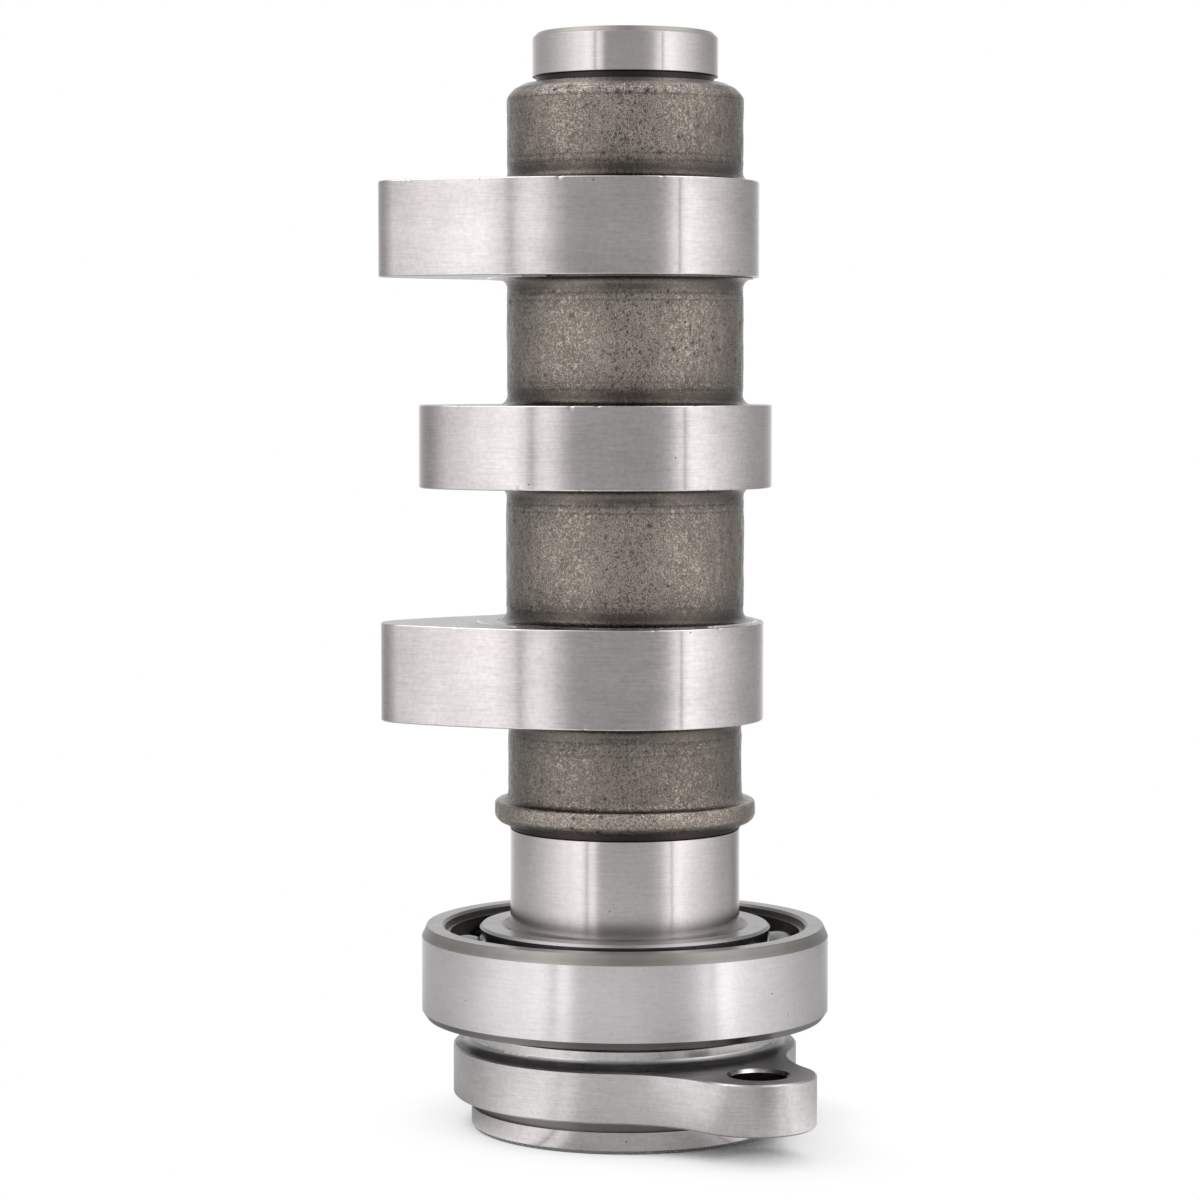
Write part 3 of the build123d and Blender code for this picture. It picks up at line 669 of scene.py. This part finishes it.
def raw_steel(name, base, rough):
    """Unmachined steel: crinkled grain, slow patches, dark specks and dark pits. The grain
    fades out where the surface is marked as cleaned, and the surface darkens where it slants."""
    material, tree, shader = new_steel(name)
    grain = group_node(tree, "Blasted grain", scale=1450.0)
    cleaned = attribute(tree, "cleaned")
    swing = math(tree, "MULTIPLY", ramp(tree, grain["Shade"], 0.0, 1.0, -0.41, 0.645),
                 ramp(tree, cleaned, 0.0, 1.0, 1.0, 0.5))
    # Painted shade: the colour darkens where the surface slants away from the view.
    slant = put(tree, "LayerWeight", {"Blend": 0.5}).outputs["Facing"]
    tone = math(tree, "ADD", swing, 1.0)
    for factor in (spread(tree, grain["Patches"], 0.86, 1.14), attribute(tree, "tone"),
                   ramp(tree, slant, 0.35, 1.0, 1.0, 0.43)):
        tone = math(tree, "MULTIPLY", tone, factor)
    shade = speckled(tree, base, tone, 0.4, scale=650.0, size=0.16, amount=0.03)
    pitted = math(tree, "MINIMUM", attribute(tree, "wear"), DEEPEST_PIT)
    wire(tree, shader, Base_Color=colour_mix(tree, pitted, shade, [c * DARK_PIT for c in base]),
         Roughness=spread(tree, grain["Patches"], rough * 0.9, rough * 1.12),
         Normal=bump(tree, grain["Height"], 70.0, ramp(tree, cleaned, 0.0, 1.0, 1.0, 0.45)))
    return material


def sheet_steel(name, base, rough):
    """Pressed or lapped steel with only slow patches."""
    material, tree, shader = new_steel(name)
    patches = group_node(tree, "Blasted grain", scale=3000.0)["Patches"]
    tone = spread(tree, patches, 0.9, 1.1)
    wire(tree, shader, Base_Color=times(tree, base, tone),
         Roughness=spread(tree, patches, rough * 0.8, rough * 1.25))
    return material


def once(name, maker, *values):
    """The material of that name, made the first time it is asked for."""
    return bpy.data.materials.get(name) or maker(name, *values)


def finishes(scene):
    """The steel finishes, by their short names. The shared node groups are made before them."""
    for name, maker in (("Grinding lines", grinding_group), ("Face rings", ring_group),
                        ("Blasted grain", grain_group), ("Specks", speck_group)):
        if name not in bpy.data.node_groups:
            maker()
    f = scene.camshaft_finishes
    return {
        "ground": once("Ground steel", ground_steel, f.ground, f.ground_rough, 0.22),
        "journal": once("Journal steel", round_steel, f.ground, f.ring_rough, 0.13),
        "ring": once("Ring steel", round_steel, f.ring, f.ring_rough, 0.13),
        "satin": once("Satin steel", ground_steel, f.satin, f.satin_rough, 0.2),
        "face": once("Turned face", turned_steel, f.turned, f.turned_rough, 0.85),
        "raw": once("Raw steel", raw_steel, f.raw, f.raw_rough),
        "dark": once("Unground steel", turned_steel, f.dark, f.dark_rough, 1.0),
        "ring_face": once("Ring face", turned_steel, f.ring_face, f.turned_rough, 0.85),
        "recess": once("Recess steel", turned_steel, f.recess, f.dark_rough, 1.0),
        "oiled": once("Oiled recess", turned_steel, f.oiled, f.dark_rough, 1.0),
        "sheet": once("Cage sheet", sheet_steel, f.sheet, 0.32),
        "ball": once("Lapped balls", sheet_steel, f.ball, 0.07),
    }


def facets(mesh):
    """Centres in millimetres of a mesh's faces, their distances from the axis and their normals."""
    centre, normal = np.zeros(len(mesh.polygons) * 3), np.zeros(len(mesh.polygons) * 3)
    mesh.polygons.foreach_get("center", centre)
    mesh.polygons.foreach_get("normal", normal)
    centre = centre.reshape(-1, 3) / MM
    return centre, np.hypot(centre[:, 0], centre[:, 1]), normal.reshape(-1, 3)


def dress(piece, scene, choices, others):
    """Gives a piece its finishes. Each choice is a finish and the faces that have it, the first
    choice that holds wins, and the other faces get the last finish."""
    look = finishes(scene)
    piece.data.materials.clear()
    for finish in (others, *choices):
        piece.data.materials.append(look[finish])
    faces = len(piece.data.polygons)
    held = [np.broadcast_to(mask, faces) for mask in choices.values()]
    index = np.select(held, range(1, len(held) + 1), 0) if held else np.zeros(faces)
    piece.data.polygons.foreach_set("material_index", index.astype(np.int32))
    piece.data.update()


def carry(piece, slot, *nodes):
    """A piece of the shaft: it rides on the shaft and stands for the given solids."""
    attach(piece, "shaft")
    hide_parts(*nodes)


# Operators

class CAMSHAFT_OT_lobes(Operator):
    """Make the three cam lobes with rounded rims, stepped faces and small nicks"""
    bl_idname = "camshaft.lobes"
    bl_label = "Cam lobes"

    def execute(self, context):
        scene = context.scene
        forms = {"lobe_lower": scene.camshaft_lower, "lobe_middle": scene.camshaft_middle,
                 "lobe_upper": scene.camshaft_upper}
        for number, (name, form) in enumerate(forms.items()):
            piece = skin(name, lobe_grid(form, scene.camshaft_sizes.lobe_edge / MM, 11 * number + 3))
            normal = facets(piece.data)[2]
            dress(piece, scene, {"face": np.abs(normal[:, 2]) > 0.8}, "ground")
            carry(piece, "camshaft_steel", "camshaft")
        return {"FINISHED"}


class CAMSHAFT_OT_raw_shaft(Operator):
    """Make the raw shaft sections between the lobes, and the rib, with pits and tool marks"""
    bl_idname = "camshaft.raw_shaft"
    bl_label = "Raw shaft"

    def execute(self, context):
        scene = context.scene
        s = scene.camshaft_sizes
        fillet = s.root_fillet / MM
        lobes = scene.camshaft_lower, scene.camshaft_middle, scene.camshaft_upper
        tops = [(lobe.height + lobe.thickness) / MM for lobe in lobes]
        feet = [lobe.height / MM for lobe in lobes]
        few, worn = ((-150, -30), (tops[0] + 3, feet[1] - 3), 8), ((-68, -33), (117.5, 122.5), 22)
        self.between("raw_section_c", s.section_c / MM, tops[0], feet[1], fillet, 21, few)
        self.between("raw_section_b", s.section_b / MM, tops[1], feet[2], fillet, 35, worn)
        self.free_end("raw_section_a", s, tops[2], fillet)
        self.ribbed("raw_section_d", s, feet[0], fillet)
        return {"FINISHED"}

    def between(self, name, radius, low, high, fillet, seed, cluster):
        """A section between two lobes, flared at both ends."""
        wide = radius + fillet
        flare, arc = fillet - FLARE_GAP, DISC_ARC
        corners = [(0, low - 2), (wide, low - 2), (wide, low), (radius, low), (radius, high), (wide, high),
                   (wide, high + 2), (0, high + 2)]
        profile = rounded(corners, [arc, arc, flare, flare, arc, arc], 12)
        raw_section(name, profile, (low + fillet, high - fillet), seed, cluster)

    def free_end(self, name, s, low, fillet):
        """The section at the free end, with its sloped and rounded shoulder."""
        radius, high, bore = s.section_a / MM, s.shoulder_high / MM, 12.0
        wide = radius + fillet
        flare, arc = fillet - FLARE_GAP, DISC_ARC
        corners = [(0, low - 2), (wide, low - 2), (wide, low), (radius, low), (radius, high - 2),
                   (radius - 1.04, high - 0.7), (radius - 2.44, high), (bore, high), (bore, low + 6),
                   (0, low + 6)]
        profile = rounded(corners, [arc, arc, flare, 1.3, 1.3, 0.3, arc, arc], 12)
        cluster = (-122, -50), (155.7, 157.0), 12
        raw_section(name, profile, (low + fillet, high - 0.6), 47, cluster, free_end=True)

    def ribbed(self, name, s, high, fillet):
        """The section over the journal, with the rib at its foot."""
        radius, rib, low, top = s.section_d / MM, s.rib / MM, s.rib_low / MM, s.rib_high / MM
        wide = radius + fillet
        flare, arc = fillet - FLARE_GAP, DISC_ARC
        corners = [(0, low + 1), (radius - 3, low + 1), (radius - 3, low), (rib, low), (rib, top),
                   (radius, top), (radius, high), (wide, high), (wide, high + 2), (0, high + 2)]
        profile = rounded(corners, [arc, arc, 1.65, 0.65, 1.35, flare, arc, arc], 12)
        cluster = (-140, -40), (47.0, 49.5), 6
        raw_section(name, profile, (low - 1.0, high - fillet), 59, cluster, dimming=0.22)


class CAMSHAFT_OT_journals(Operator):
    """Make the ground journals at both ends of the shaft, with their lathe centres"""
    bl_idname = "camshaft.journals"
    bl_label = "Journals"

    def execute(self, context):
        s = context.scene.camshaft_sizes
        end, low, seat, high = (v / MM for v in (s.tail_low, s.journal_low, s.journal, s.journal_high))
        tail, neck, groove = s.tail / MM, s.neck / MM, seat - s.groove / MM
        wide, cut = high + 0.35, high + 1.6
        corners = [*self.centre(end, 1)[::-1], (tail - 0.8, end), (tail, end + 0.8), (tail, low),
                   (seat, low), (seat, high), (groove, high), (groove, wide), (neck, wide), (neck, cut),
                   (0, cut)]
        radii = [0.02, 0.02, 0.02, 0.02, 0.02, 0.1, 0.1, 0.2, 0.05, 0.05, 0.05, 0.05]
        self.make("journal_lower", corners, radii, seat, (high - 0.1, high + 2), context.scene)
        foot, under, journal = (v / MM for v in (s.shoulder_high, s.undercut, s.top_journal))
        low, end = s.top_low / MM, s.top_high / MM
        corners = [(0, foot - 6), (under, foot - 6), (under, low), (journal, low), (journal, end - 0.85),
                   (journal - 0.85, end), *self.centre(end, -1)]
        radii = [0.05, 0.1, 0.15, 0.1, 0.1, 0.05, 0.02, 0.02]
        self.make("journal_upper", corners, radii, journal, (foot - 6, low + 0.1), context.scene)
        return {"FINISHED"}

    def centre(self, end, inward):
        """Corners of a lathe centre from its mouth in the end face to its tip on the axis."""
        return [(CENTRE_MOUTH, end), (CENTRE_DRILL, end + inward * CENTRE_CONE),
                (CENTRE_DRILL, end + inward * CENTRE_DEPTH), (0, end + inward * CENTRE_TIP)]

    def make(self, name, corners, radii, radius, shaded, scene):
        """A turned piece: its running surface is ground, the rest is left dark, and the
        undercut between the two oily heights is darker still."""
        profile = refined(rounded(corners, radii, 3), JOURNAL_STEP)
        piece = skin(name, turned(profile, JOURNAL_COLUMNS))
        centre, away, normal = facets(piece.data)
        running = (np.abs(normal[:, 2]) < 0.5) & (np.abs(away - radius) < 0.06)
        # Painted shade on the undercut and groove between the two heights.
        deep = (centre[:, 2] > shaded[0]) & (centre[:, 2] < shaded[1])
        dress(piece, scene, {"journal": running, "oiled": deep}, "dark")
        carry(piece, "camshaft_steel", "camshaft")


class CAMSHAFT_OT_hub(Operator):
    """Finish the drive hub: ground rims, turned faces and a dark bolt hole"""
    bl_idname = "camshaft.hub"
    bl_label = "Drive hub"

    def execute(self, context):
        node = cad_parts["drive_hub"]
        s = context.scene.camshaft_places
        centre, away, normal = facets(node.data)
        height, lean = centre[:, 2], np.abs(normal[:, 2])
        from_hole = np.hypot(centre[:, 0] - s.hole_reach / MM * np.cos(s.hole_angle),
                             centre[:, 1] - s.hole_reach / MM * np.sin(s.hole_angle))
        bore = (from_hole < s.hole / MM + 0.1) & (lean < 0.3)
        pilot = height < s.pilot_high / MM
        relief = (height < s.relief_high / MM) & (away < s.relief_reach / MM) & ~pilot
        slant = (lean > 0.2) & (from_hole > (s.hole + s.hole_rim) / MM)
        under = slant & (normal[:, 2] < 0) & (height > s.collar_low / MM)
        # Painted shade: the bolt hole gets the deep shade colour, and the relief under the flange and the
        # collar's underside get the recess shade colour.
        dress(node, context.scene, {"oiled": bore, "recess": relief | under, "face": (lean > 0.9) | slant,
                                    "ground": pilot}, "satin")
        return {"FINISHED"}


class CAMSHAFT_OT_rings(Operator):
    """Finish the bearing's rings: ground outside and faces, dark chamfers and recesses"""
    bl_idname = "camshaft.rings"
    bl_label = "Bearing rings"

    def execute(self, context):
        s = context.scene.camshaft_places
        for name in ("bearing_inner_ring", "bearing_outer_ring"):
            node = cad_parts[name]
            centre, away, normal = facets(node.data)
            lean = np.abs(normal[:, 2])
            above = centre[:, 2] > s.race_high / MM
            flat = (lean > 0.95) | ((lean > 0.2) & (away < s.step_in / MM) & above)
            slanted = (lean > 0.2) & (lean < 0.95) & ((away > s.corner / MM) | (away < s.bore_corner / MM))
            inside = (away > s.step_in / MM) & (away < s.step_out / MM) & name.endswith("outer_ring")
            lower = slanted & (normal[:, 2] < 0)
            # Painted shade: below the given height the outer ring's inner step gets the deep shade colour,
            # and the rest of the step and the downward chamfers get the recess shade colour.
            dress(node, context.scene, {"oiled": inside & ~above, "recess": inside | lower, "dark": slanted,
                                        "ring_face": flat}, "ring")
        return {"FINISHED"}


class CAMSHAFT_OT_cage(Operator):
    """Finish the cage and its rivets in pressed sheet steel"""
    bl_idname = "camshaft.cage"
    bl_label = "Cage and rivets"

    def execute(self, context):
        for name in ("cage_upper", "cage_lower", "cage_rivets"):
            dress(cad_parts[name], context.scene, {}, "sheet")
        return {"FINISHED"}


class CAMSHAFT_OT_balls(Operator):
    """Finish the balls in lapped bright steel"""
    bl_idname = "camshaft.balls"
    bl_label = "Balls"

    def execute(self, context):
        for name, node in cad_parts.items():
            if name.startswith("ball_"):
                dress(node, context.scene, {}, "ball")
        return {"FINISHED"}


# Light tent. Azimuths are in degrees from the camera's side, positive to the right.

GLOW_RIGHT = [
    (0, 0.45), (20, 0.47), (27, 0.54), (33, 0.68), (38, 0.95), (42, 1.2), (44.5, 1.14), (46, 0.72),
    (47.5, 1.15), (50, 1.42), (55, 1.52), (62, 1.4), (70, 1.2), (80, 1.02), (90, 0.86), (100, 0.7),
    (110, 0.57), (120, 0.5), (135, 0.44), (146, 0.5), (157, 0.7), (166, 1.0), (180, 1.0)]
GLOW_LEFT = [
    (0, 0.45), (20, 0.47), (24, 0.52), (27, 0.75), (30, 1.1), (33, 1.26), (35.5, 1.12), (37.5, 0.72),
    (39.5, 1.15), (44, 1.48), (50, 1.45), (57, 1.3), (63, 1.26), (70, 1.1), (80, 0.94), (90, 0.8),
    (100, 0.69), (112, 0.6), (128, 0.54), (142, 0.58), (155, 0.78), (166, 1.0), (180, 1.0)]

# Distance along the floor in metres, plain glow there, and gain of the glow by azimuth
NEAR_FLOOR = [
    (0.03, 0.15, 0.72), (0.068, 0.42, 0.6), (0.1, 0.38, 0.5), (0.13, 0.56, 0.5), (0.17, 0.66, 0.5),
    (0.21, 0.5, 0.55), (0.27, 0.0, 1.0)]

# Bands of the way out along the floor and up the wall, in millimetres. Each is named after the
# piece that mirrors it. An accent is an azimuth, a width and a gain.
ACCENTS = {
    "pilot": ((20, 23, 40, 52), [(-100, 32, -0.4), (40, 18, -0.45)]),
    "flange": ((42, 54, 88, 100), [(-95, 30, -0.2)]),
    "collar": ((88, 100, 112, 124), [(22, 20, -0.9)]),
    "ring": ((112, 124, 200, 230), [(-27, 12, 0.3), (0, 18, 0.28), (50, 8, 0.4), (-70, 14, 0.15)]),
    "journal": ((200, 230, 340, 380), [(0, 18, -0.2), (138, 10, -0.3)]),
    "lobes": ((340, 380, 770, 790), [(-116, 22, -0.24)]),
}
DOME_ACCENTS = [
    (-48, 16, 0.5), (-100, 16, 0.2), (-132, 16, -0.25), (19, 12, -0.2), (56, 12, 0.12), (100, 20, -0.35)]
TENT_START, TENT_NEAR, TENT_LIFT = 0.0238, 0.3, 0.00006
DOME_FROM, DOME_FULL, DOME_MIDDLE, DOME_WIDTH = 40, 54, 47, 8
ZENITH_FROM, ZENITH_FULL, ZENITH_GLOW = 70, 88, 0.3
DOME_GLOW, LEFT_LAMP, RIGHT_LAMP = 0.7, 3.0, 2.2


def tent_glow(azimuth):
    """Brightness of the light tent against the azimuth: straight runs between set levels. A
    dim gap faces the object from the camera, a soft box stands on each side of it, and the far
    side is white."""
    right, left = (np.interp(np.abs(azimuth), *zip(*table)) for table in (GLOW_RIGHT, GLOW_LEFT))
    return np.where(azimuth > 0, right, left)


def accents(along, climb, azimuth):
    """Small corrections of the tent's brightness: one plus a sum of bell curves over the
    azimuth, each within its own band of the way along the floor and the wall, or round one
    height in degrees on the dome."""
    glow = 1.0
    for band, spots in ACCENTS.values():
        within = np.interp(along / MM, band, (0, 1, 1, 0)) * (climb < DOME_FROM)
        for middle, width, gain in spots:
            glow = glow + gain * within * bell((azimuth - middle) / width)
    for middle, width, gain in DOME_ACCENTS:
        glow = glow + gain * bell((climb - DOME_MIDDLE) / DOME_WIDTH) * bell((azimuth - middle) / width)
    return glow


def split(tree, ray, usual, special):
    """Shows the special shader to one kind of ray and the usual one to the rest."""
    seen = put(tree, "LightPath").outputs[ray]
    mixed = put(tree, "MixShader", {0: seen, 1: usual.outputs[0], 2: special.outputs[0]})
    put(tree, "OutputMaterial", {"Surface": mixed.outputs[0]})


class CAMSHAFT_OT_stage(Operator):
    """Make the white floor, the light tent, the world and the camera"""
    bl_idname = "camshaft.stage"
    bl_label = "Stage"

    def execute(self, context):
        sizes = context.scene.camshaft_stage
        self.floor(sizes)
        self.tent(sizes)
        self.world(context.scene)
        self.camera(context.scene, sizes)
        return {"FINISHED"}

    def material(self, piece, name):
        """New empty material on a piece, with its node tree."""
        material = bpy.data.materials.new(name)
        material.use_nodes = True
        material.node_tree.nodes.clear()
        piece.data.materials.append(material)
        return material, material.node_tree

    def floor(self, sizes):
        """Wide flat disc whose middle lies under the object: a grid of radius and angle. Only
        the camera sees its shadow, which is deep where little of the lamps' side is open."""
        radius = np.array([0.0, 0.05, 0.1, 0.3, 1.0, 3.0, 9.0])[:, None]
        angle = np.linspace(0, 2 * np.pi, 96, endpoint=False)
        grid = np.stack([radius * np.cos(angle), radius * np.sin(angle), 0 * radius * angle - 0.00002], -1)
        floor = new_piece("floor", grid.reshape(-1, 3), ring_quads(*grid.shape[:2])[:, ::-1].tolist())
        tree = self.material(floor, "White floor")[1]
        diffuse = put(tree, "BsdfDiffuse", {"Color": (0.96, 0.96, 0.965, 1)})
        lamp_side = put(tree, "CombineXYZ", {"X": -0.2, "Y": -0.5, "Z": 0.84}).outputs[0]
        near = put(tree, "AmbientOcclusion", {"Distance": sizes.shadow_reach, "Normal": lamp_side},
                   samples=12).outputs["AO"]
        close, far = ramp(tree, near, 0.27, 0.5, 0.04, 0.76), ramp(tree, near, 0.5, 0.95, 0.0, 0.24)
        open_sky = math(tree, "ADD", close, far)
        white = put(tree, "Emission", {"Color": (1, 1, 1, 1), "Strength": open_sky})
        split(tree, "Is Camera Ray", diffuse, white)

    def tent(self, sizes):
        """Light tent that only reflections see: it runs out along the floor, up a round wall
        and over a low dome. Its glow is the brightness for the azimuth, mixed with a plain
        part close to the object, brighter to both sides above the wall, and dim overhead."""
        wide = sizes.tent
        bend = np.linspace(0.1, np.pi / 2 - 0.01, 14)
        run = np.concatenate([np.linspace(TENT_START, TENT_NEAR, 24), np.linspace(0.34, wide, 5),
                              np.full(9, wide), wide * np.cos(bend)])[:, None]
        rise = np.concatenate([np.full(29, TENT_LIFT), np.linspace(0.02, sizes.wall, 9),
                               sizes.wall + sizes.dome * np.sin(bend)])[:, None]
        angle = np.linspace(-np.pi, np.pi, 1440, endpoint=False)
        azimuth = np.degrees(angle)
        grid = np.stack([run * np.sin(angle), -run * np.cos(angle), rise + 0 * angle], -1)
        places, plains, gains = zip(*NEAR_FLOOR)
        above = rise > 0.001
        plain = np.where(above, 0.0, np.interp(run, places, plains)) * (0.72 + 0.28 * np.cos(angle))
        gain = np.where(above, 1.0, np.interp(run, places, gains))
        climb = np.degrees(np.arctan2(rise, run))
        lamps = DOME_GLOW + np.where(angle < 0, LEFT_LAMP, RIGHT_LAMP) * np.abs(np.sin(angle)) ** 3
        overhead = np.clip((climb - ZENITH_FROM) / (ZENITH_FULL - ZENITH_FROM), 0, 1)
        raised = np.clip((climb - DOME_FROM) / (DOME_FULL - DOME_FROM), 0, 1)
        upper = lamps + (ZENITH_GLOW - lamps) * overhead
        glow = (plain + gain * tent_glow(azimuth)) * (1 - raised) + upper * raised
        glow = glow * accents(run + rise, climb, azimuth)
        tent = new_piece("light_tent", grid.reshape(-1, 3), ring_quads(*glow.shape).tolist())
        tent.data.attributes.new("glow", "FLOAT", "POINT").data.foreach_set("value", glow.ravel())
        material, tree = self.material(tent, "Light tent")
        material.cycles.emission_sampling = "NONE"
        shine = put(tree, "Emission", {"Color": (1, 1, 1, 1), "Strength": attribute(tree, "glow")})
        split(tree, "Is Glossy Ray", put(tree, "BsdfTransparent"), shine)
        tent.visible_shadow = False

    def world(self, scene):
        """Plain white surroundings at strength 1."""
        world = scene.world or bpy.data.worlds.new("World")
        scene.world = world
        world.use_nodes = True
        background = world.node_tree.nodes["Background"]
        background.inputs["Color"].default_value = (1, 1, 1, 1)
        background.inputs["Strength"].default_value = 1.0
        scene.view_settings.view_transform = "Standard"

    def camera(self, scene, sizes):
        """The photograph's camera."""
        data = bpy.data.cameras.new("camera")
        data.lens = sizes.lens
        data.sensor_width = 36.0
        data.clip_start = 0.01
        data.clip_end = 20.0
        camera = bpy.data.objects.new("camera", data)
        camera.location = (-sizes.aside, -sizes.distance, sizes.eye)
        camera.rotation_euler = (sizes.tilt, 0, 0)
        scene.collection.objects.link(camera)
        scene.camera = camera


OPERATORS = (CAMSHAFT_OT_lobes, CAMSHAFT_OT_raw_shaft, CAMSHAFT_OT_journals, CAMSHAFT_OT_hub,
             CAMSHAFT_OT_rings, CAMSHAFT_OT_cage, CAMSHAFT_OT_balls, CAMSHAFT_OT_stage)
SETTINGS = {"camshaft_lower": LowerLobe, "camshaft_middle": MiddleLobe, "camshaft_upper": UpperLobe,
            "camshaft_sizes": ShaftSizes, "camshaft_places": FinishPlaces, "camshaft_finishes": Finishes,
            "camshaft_stage": StageSizes}


class CAMSHAFT_PT_parts(Panel):
    """Lists the camshaft's pieces and its settings"""
    bl_label = "Camshaft"
    bl_space_type = "VIEW_3D"
    bl_region_type = "UI"
    bl_category = "Camshaft"

    def draw(self, context):
        for operator in OPERATORS:
            self.layout.operator(operator.bl_idname)
        for name, group in SETTINGS.items():
            box = self.layout.box()
            for key in group.__annotations__:
                box.prop(getattr(context.scene, name), key)


def register():
    for item in (*SETTINGS.values(), *OPERATORS, CAMSHAFT_PT_parts):
        bpy.utils.register_class(item)
    for name, group in SETTINGS.items():
        setattr(bpy.types.Scene, name, PointerProperty(type=group))


def unregister():
    for name in SETTINGS:
        delattr(bpy.types.Scene, name)
    for item in (CAMSHAFT_PT_parts, *OPERATORS, *SETTINGS.values()):
        bpy.utils.unregister_class(item)


def corners(box):
    """A box's corners as plain lists of numbers."""
    return [[float(value) for value in corner] for corner in box]


def main():
    register()
    for operator in OPERATORS:
        group, name = operator.bl_idname.split(".")
        getattr(getattr(bpy.ops, group), name)()


if __name__ == "__main__":
    main()
